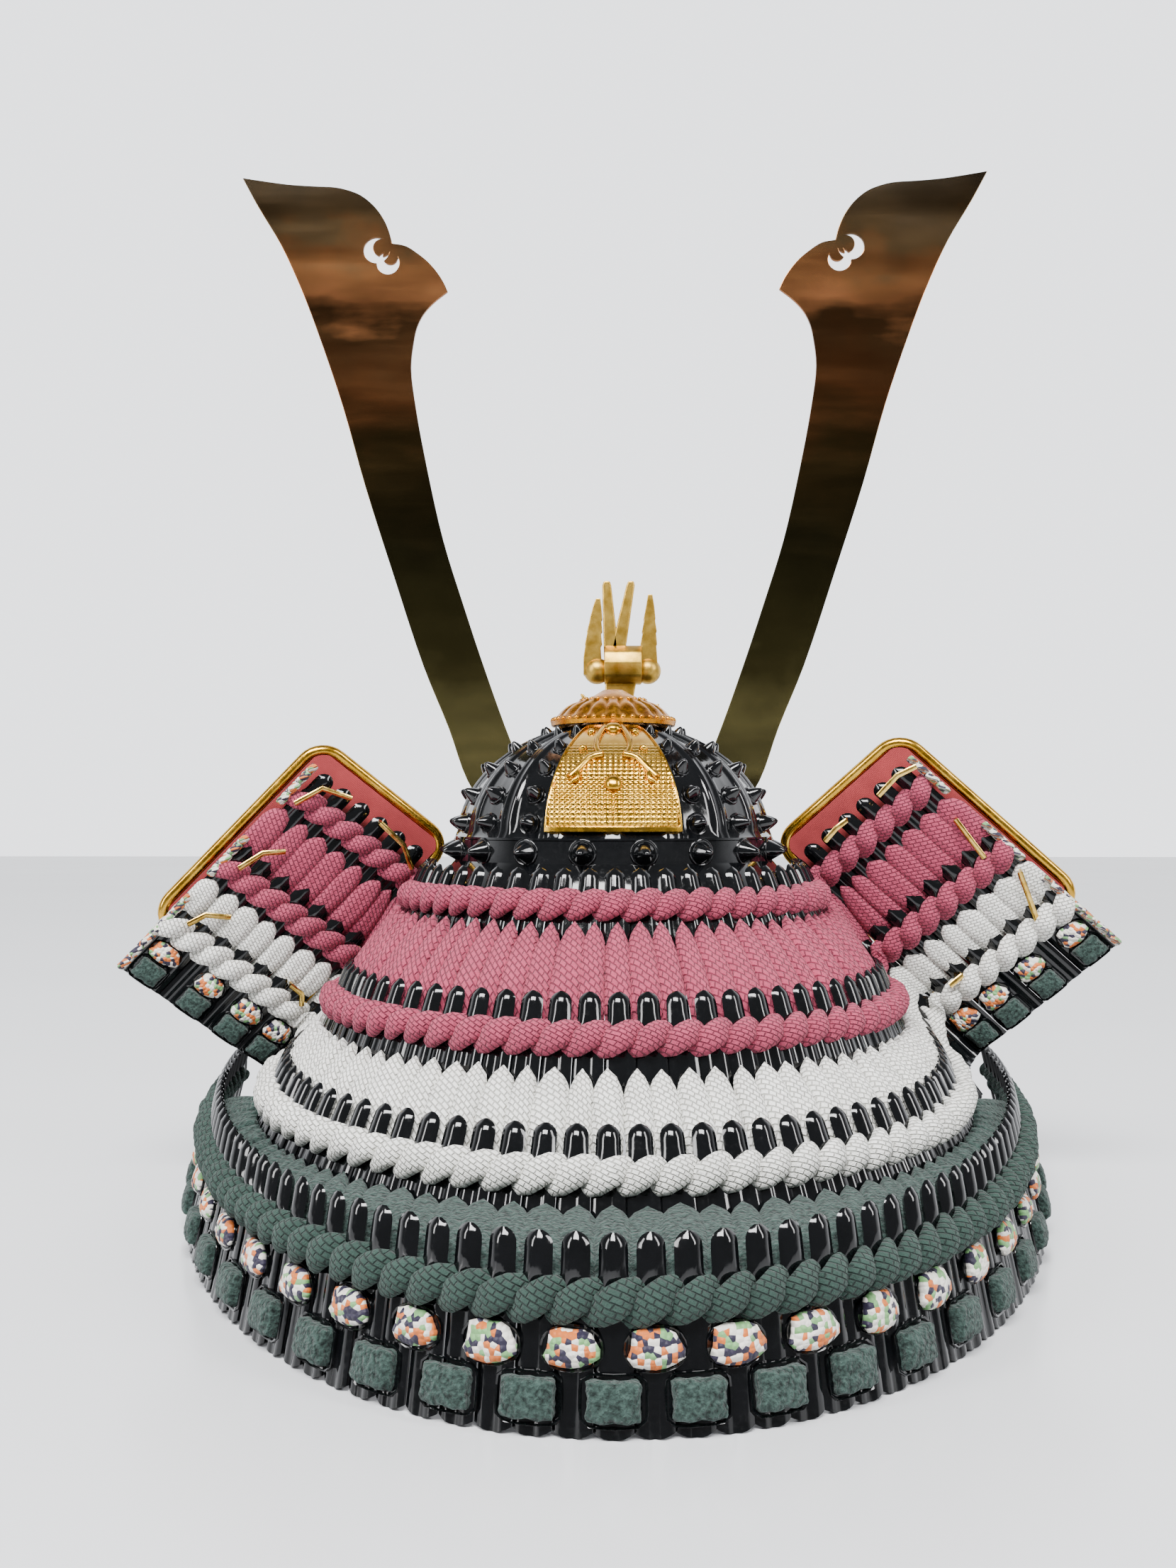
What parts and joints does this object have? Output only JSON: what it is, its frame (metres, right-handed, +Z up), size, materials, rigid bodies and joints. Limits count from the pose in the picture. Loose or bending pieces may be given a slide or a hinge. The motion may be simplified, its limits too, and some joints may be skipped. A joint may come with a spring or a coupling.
{
  "type": "kabuto samurai helmet",
  "caption": "Display kabuto helmet: black studded bowl, laced neck guard in pink, white and green, rimmed side flaps, tall pierced brass horn blades and a gold crest.",
  "frame": {"origin": "middle of the helmet's box at the level of the neck guard's lowest edge", "axes": "+X across, +Y to the back of the helmet, +Z up"},
  "size_m": [0.2856, 0.2418, 0.3365],
  "materials": {
    "black_lacquer": "moulded, gloss black",
    "gilt_plate": "gold-plated casting and rim tube, satin to bright",
    "orange_gilt": "gold-plated, warmer, satin",
    "brass_sheet": "thin sheet, mirror polished, faintly rolled",
    "pink_cord": "braided wool-like cord",
    "white_cord": "braided wool-like cord",
    "green_cord": "fuzzy braided cord",
    "many_coloured_braid": "white, orange, green and dark purple braid",
    "red_cloth": "thin cloth glued to the board"
  },
  "bodies": {
    "root": {"bowl": "black_lacquer", "bowl_band": "black_lacquer", "peak": "black_lacquer", "lame_1": "black_lacquer", "lame_2": "black_lacquer", "lame_3": "black_lacquer", "lame_4": "black_lacquer", "pink_cord_row_1": "pink_cord", "pink_cord_row_2": "pink_cord", "white_cord_row_3": "white_cord", "green_cord_row_4": "green_cord", "pink_lacing": "pink_cord", "white_lacing": "white_cord", "green_lacing": "green_cord", "guard_knots": "many_coloured_braid", "guard_blocks": "green_cord", "rear_plate": "gilt_plate", "crown_ornament": "orange_gilt", "crest_holder": "gilt_plate", "crest": "gilt_plate", "horn_blade_left": "brass_sheet", "horn_blade_right": "brass_sheet", "flap_knots_left": "many_coloured_braid", "flap_blocks_left": "green_cord", "flap_lining_left": "red_cloth", "flap_board_left": "black_lacquer", "flap_rim_left": "gilt_plate", "flap_braid_left": "many_coloured_braid", "guard_braid_left": "many_coloured_braid", "flap_knots_right": "many_coloured_braid", "flap_blocks_right": "green_cord", "flap_lining_right": "red_cloth", "flap_board_right": "black_lacquer", "flap_rim_right": "gilt_plate", "flap_braid_right": "many_coloured_braid", "guard_braid_right": "many_coloured_braid"}
  },
  "joints": []
}
